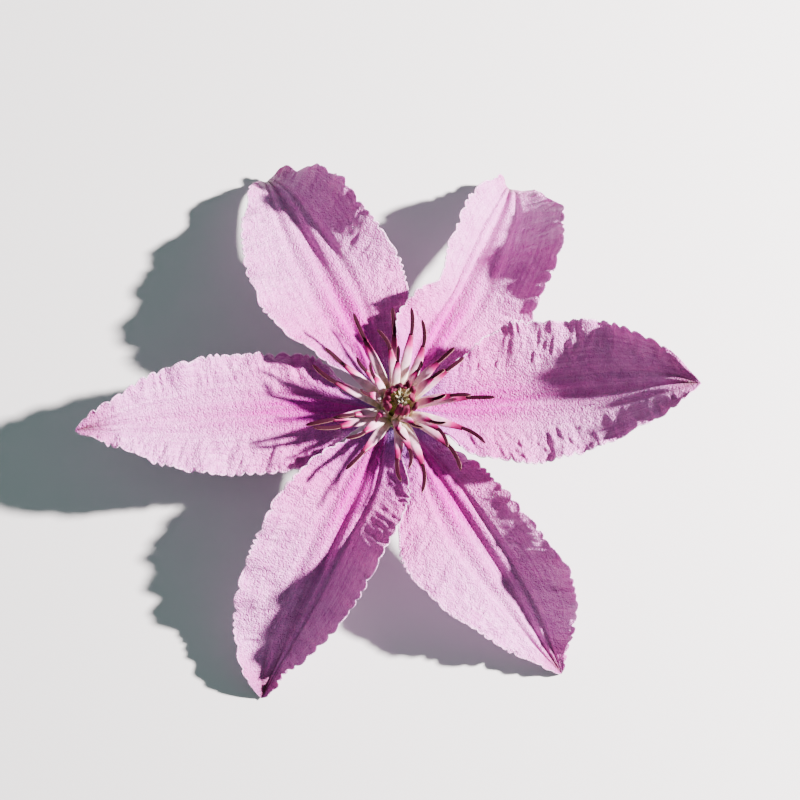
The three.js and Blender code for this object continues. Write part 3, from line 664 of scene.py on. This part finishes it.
# Young stamens
for k in range(YOUNG["count"]):
    azimuth = np.radians(360 * (k + 0.3 * (draw(50, k) - 0.5)) / YOUNG["count"])
    rise = YOUNG["rise"] * (0.8 + 0.26 * draw(51, k))
    lean = azimuth + 0.5 * (draw(53, k) - 0.5)
    corners = [around(azimuth, YOUNG["root"], foot), around(azimuth, YOUNG["belly"], foot + 0.35 * rise),
               around(lean, YOUNG["belly"] - 0.2, foot + 0.75 * rise),
               around(lean, YOUNG["tip"] + YOUNG["spread"] * draw(52, k), foot + rise)]
    parts += young_stamen(corners, azimuth, YOUNG["wide"] * (0.6 + 0.55 * draw(54, k)), YOUNG["thick"])
bunch = build("stamen_bunch", parts, [filament_flesh, anther_sac, young_flesh, young_anther])
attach(bunch, "root")
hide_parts("stamens")

# ---- Pistil ----
# A knot of small carpels on the receptacle, each drawn out into a slender silky style. The styles rise
# through the young stamens and part at their tips, cream at the tips, with olive-brown below that is painted
# shade among the young stamens.

CARPEL_OUTLINE = [(0, 0.7), (1.35, 0.7), (1.42, 1.5), (1.35, 2.4), (1.15, 3.4), (0.9, 4.2), (0.5, 4.6),
                  (0, 4.75)]
# distance from the axis at foot and tip, heights over the spring height, and radius, mm
STYLES = dict(count=11, root=0.75, tip=1.35, foot=1.9, straight=5.9, top=11.4, uneven=1.3, radius=0.34)
GOLDEN_ANGLE = 2.399963  # radians from one style to the next
SILK_HAIRS = 26  # on each style
SILK_LENGTH = 0.45  # mm

turn = np.linspace(0, 2 * np.pi, 25)
knot = turned_form(CARPEL_OUTLINE, turn[:-1])
parts = [(knot, turn / (2 * np.pi), np.linspace(0, 0.2, len(knot)), 0)]
turn = np.linspace(0, 2 * np.pi, 11)
t = np.linspace(0, 1, 24)
for k in range(STYLES["count"]):
    azimuth = GOLDEN_ANGLE * k
    part = np.sqrt((k + 0.5) / STYLES["count"])
    top = SPRING_HEIGHT + STYLES["top"] - STYLES["uneven"] * draw(60, k)
    line, along = bezier([around(azimuth, STYLES["root"] * part, SPRING_HEIGHT + STYLES["foot"]),
                          around(azimuth, STYLES["root"] * part, SPRING_HEIGHT + STYLES["straight"]),
                          around(azimuth, STYLES["root"] * part, top - 3),
                          around(azimuth, STYLES["tip"] * part, top)], t)
    line = line + around(azimuth, 0.75 - 0.3 * part, 0.5) * ((t[:, None] - 0.8).clip(0) / 0.2) ** 2
    radius = STYLES["radius"] * (1 - 0.62 * smooth((t - 0.2) / 0.5))
    radius = radius * np.sqrt(1 - smooth((t - 0.96) / 0.04) * 0.96)
    style = carried(line, along, around(azimuth + np.pi / 2, 1.0, 0.0), radius[:, None] * np.cos(turn[:-1]),
                    radius[:, None] * np.sin(turn[:-1]))
    i, j = hair_places.integers(8, 21, SILK_HAIRS), hair_places.integers(0, 10, SILK_HAIRS)
    parts += spikes(style[i, j], unit(style[i, j] - line[i]), along[i], SILK_LENGTH, 1, k)
    parts.append((capped(style), turn / (2 * np.pi), np.concatenate([[0], t, [1]]), 0))

# Styles: pale green-cream flesh with silk along it, and dark olive brown below the cream stigma at its end,
# which is painted shade among the young stamens
style_flesh_painted_shade = flesh("silky style",
                   [(0.0, "#8D9056"), (1.0, "#CFC3A5"), (0.6, "#684B23"), (0.84, "#4E2A19"),
                    (0.93, "#CABB94")],
                   roughness=0.6, speckle="#B6A572", speckle_scale=1200.0)
pistil = build("styles_and_carpels", parts, [style_flesh_painted_shade, fine_down])
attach(pistil, "root")
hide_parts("pistil")

# ---- Floor, light and camera ----
# A plain pale floor under the flower, a studio key light from the right, small enough to draw the stamens'
# shadows, a weak large one from the left, and pale surroundings. The camera looks down on the open flower
# from a little towards its lower side.

CAMERA_AZIMUTH = np.radians(242)
CAMERA_LEAN = np.radians(18)  # from straight overhead
CAMERA_DISTANCE = 0.42735  # m
AIM_HEIGHT = 0.021  # m, at the height of the stamens
# azimuth and elevation in degrees, distance and size in metres, power in watts, and colour
LIGHTS = {"key": (12, 37, 0.7, 0.05, 58.0, "#FFFDFA"), "fill": (190, 60, 0.9, 0.6, 0.8, "#D4ECF0")}

# Studio paper: matt and a warm pale grey
floor_paper, tree = new_material("pale floor")
shader = put(tree, "ShaderNodeBsdfPrincipled", {"Base Color": colour("#B9B3B5"), "Roughness": 0.8})
put(tree, "ShaderNodeOutputMaterial", {0: shader.outputs[0]})
bpy.ops.mesh.primitive_plane_add(size=4.0, location=(0, 0, -0.0002))
floor = bpy.context.object
floor.name = "floor"
floor.data.materials.append(floor_paper)

world = bpy.data.worlds.new("pale surroundings")
bpy.context.scene.world = world
world.use_nodes = True
background = world.node_tree.nodes["Background"]
background.inputs["Color"].default_value = colour("#C0E6E2")
background.inputs["Strength"].default_value = 0.42

for name, (azimuth, elevation, distance, size, power, tone) in LIGHTS.items():
    light = bpy.data.objects.new(name, bpy.data.lights.new(name, "AREA"))
    light.data.shape = "DISK"
    light.data.size = size
    light.data.energy = power
    light.data.color = colour(tone)[:3]
    a, e = np.radians(azimuth), np.radians(elevation)
    towards = Vector((np.cos(a) * np.cos(e), np.sin(a) * np.cos(e), np.sin(e)))
    turned = towards.to_track_quat("Z", "Y").to_matrix().to_4x4()
    light.matrix_world = Matrix.Translation(towards * distance) @ turned
    bpy.context.collection.objects.link(light)

target = Vector(AXIS_AT * MM) + Vector((0, 0, AIM_HEIGHT))
away = Vector(around(CAMERA_AZIMUTH, np.sin(CAMERA_LEAN), np.cos(CAMERA_LEAN)))
right = Vector((0, 1, 0)).cross(away).normalized()
turned = Matrix((right, away.cross(right), away)).transposed().to_4x4()
camera = bpy.data.objects.new("camera", bpy.data.cameras.new("camera"))
camera.data.lens = 100
camera.data.sensor_width = 36
camera.data.clip_start = 0.01
camera.matrix_world = Matrix.Translation(target + away * CAMERA_DISTANCE) @ turned
bpy.context.collection.objects.link(camera)
bpy.context.scene.camera = camera
